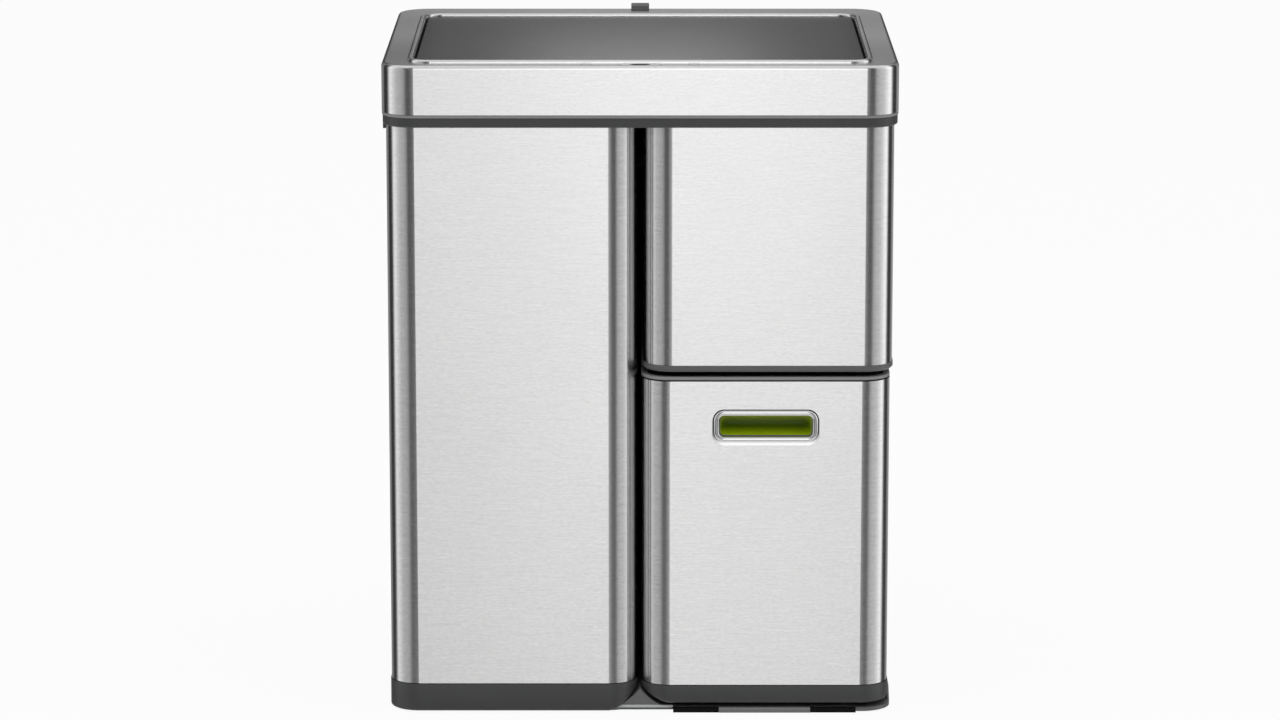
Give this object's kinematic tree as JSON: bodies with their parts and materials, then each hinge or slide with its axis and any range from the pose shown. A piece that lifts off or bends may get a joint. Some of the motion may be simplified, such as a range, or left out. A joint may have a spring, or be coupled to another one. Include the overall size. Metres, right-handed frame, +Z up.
{
  "type": "sensor waste sorting bin",
  "caption": "Free-standing steel waste sorting bin with a tall compartment, a fixed upper compartment, a pull-out caddy with finger cup and a lift-off collar with a motor-driven sensor lid.",
  "frame": {"origin": "centre of the footprint on the floor", "axes": "+Z up, front faces -Y, +X to the viewer's right when facing the front"},
  "size_m": [0.5, 0.4128, 0.6493],
  "materials": {
    "steel": "horizontal brushed",
    "charcoal": "satin moulded",
    "lid_dark": "dark brushed satin",
    "liner": "moulded",
    "green": "satin",
    "silver": "satin",
    "rubber": "matt",
    "grey_plastic": "satin",
    "black_steel": "powder coat",
    "hardware": "zinc plated",
    "nylon": "moulded",
    "bronze": "sintered",
    "lens": "dark tinted",
    "board": "solder mask",
    "cell": "printed sleeve, plain",
    "motor": "plated can",
    "wire": "insulation",
    "button": "satin"
  },
  "bodies": {
    "cabinet": {"base_plate": "charcoal", "base_feet": "rubber", "front_pads": "rubber", "tray_lip": "grey_plastic", "base_screws": "hardware", "left_base_ring": "charcoal", "left_shell": "steel", "left_top_frame": "charcoal", "left_liner": "liner", "upper_pan": "charcoal", "upper_shell": "steel", "upper_top_frame": "charcoal", "upper_liner": "liner", "rear_column": "black_steel", "column_screws": "hardware", "tower_spacers": "hardware", "tower_bolts": "hardware", "divider_ridge": "charcoal", "gap_strip": "charcoal"},
    "caddy": {"caddy_pan": "charcoal", "caddy_shell": "steel", "caddy_rim": "grey_plastic", "caddy_liner": "liner", "caddy_glides": "nylon", "handle_bezel": "silver", "handle_cup": "green"},
    "collar": {"collar_cover": "steel", "collar_ring": "charcoal", "mouth_frame": "charcoal", "side_catch": "charcoal", "sensor_lens": "lens", "sensor_board": "board", "button_switches": "charcoal", "board_screws": "hardware", "lid_bushes": "bronze", "lid_buffers": "rubber", "gear_axles": "hardware", "gear_cover": "charcoal", "motor_can": "motor", "battery_box": "charcoal", "battery_cells": "cell", "battery_contacts": "hardware", "switch_housing": "charcoal", "wire_harness": "wire", "collar_screws": "hardware"},
    "lid": {"lid_panel": "lid_dark", "lid_pan": "charcoal", "lid_shaft": "hardware", "lid_gear": "nylon"},
    "first_gear": {"first_gear": "nylon"},
    "second_gear": {"second_gear": "nylon"},
    "motor_pinion": {"motor_pinion": "nylon"},
    "open_button": {"open_button": "button"},
    "close_button": {"close_button": "button"},
    "power_rocker": {"power_rocker": "charcoal"},
    "battery_door": {"battery_door": "charcoal"}
  },
  "joints": [
    {"name": "collar_lift", "type": "slide", "parent": "cabinet", "child": "collar", "axis": [0, 0, 1], "range_m": [0, 0.12]},
    {"name": "lid_hinge", "type": "hinge", "parent": "collar", "child": "lid", "pos_m": [0, 0.126, 0.637], "axis": [-1, 0, 0], "range_deg": [0, 80]},
    {"name": "first_gear_spin", "type": "hinge", "parent": "collar", "child": "first_gear", "pos_m": [0.23, 0.126, 0.615], "axis": [-1, 0, 0], "range_deg": [-215, 2]},
    {"name": "second_gear_spin", "type": "hinge", "parent": "collar", "child": "second_gear", "pos_m": [0.23, 0.142, 0.615], "axis": [-1, 0, 0], "range_deg": [-2, 645]},
    {"name": "motor_spin", "type": "hinge", "parent": "collar", "child": "motor_pinion", "pos_m": [0.23, 0.158, 0.615], "axis": [-1, 0, 0], "range_deg": [-1925, 2]},
    {"name": "caddy_slide", "type": "slide", "parent": "cabinet", "child": "caddy", "axis": [0, -1, 0], "range_m": [0, 0.34]},
    {"name": "open_button_press", "type": "slide", "parent": "collar", "child": "open_button", "axis": [0, 0, -1], "range_m": [0, 0.0008], "stiffness_N_per_m": 700},
    {"name": "close_button_press", "type": "slide", "parent": "collar", "child": "close_button", "axis": [0, 0, -1], "range_m": [0, 0.0008], "stiffness_N_per_m": 700},
    {"name": "power_rocker_tilt", "type": "hinge", "parent": "collar", "child": "power_rocker", "pos_m": [-0.15, 0.2025, 0.62], "axis": [1, 0, 0], "range_deg": [0, 12]},
    {"name": "battery_door_hinge", "type": "hinge", "parent": "collar", "child": "battery_door", "pos_m": [0, 0.2018, 0.6068], "axis": [-1, 0, 0], "range_deg": [0, 100]}
  ],
  "couplings": [
    {"joint": "first_gear_spin", "follows": "lid_hinge", "ratio": -2.6667},
    {"joint": "second_gear_spin", "follows": "lid_hinge", "ratio": 8},
    {"joint": "motor_spin", "follows": "lid_hinge", "ratio": -24}
  ]
}
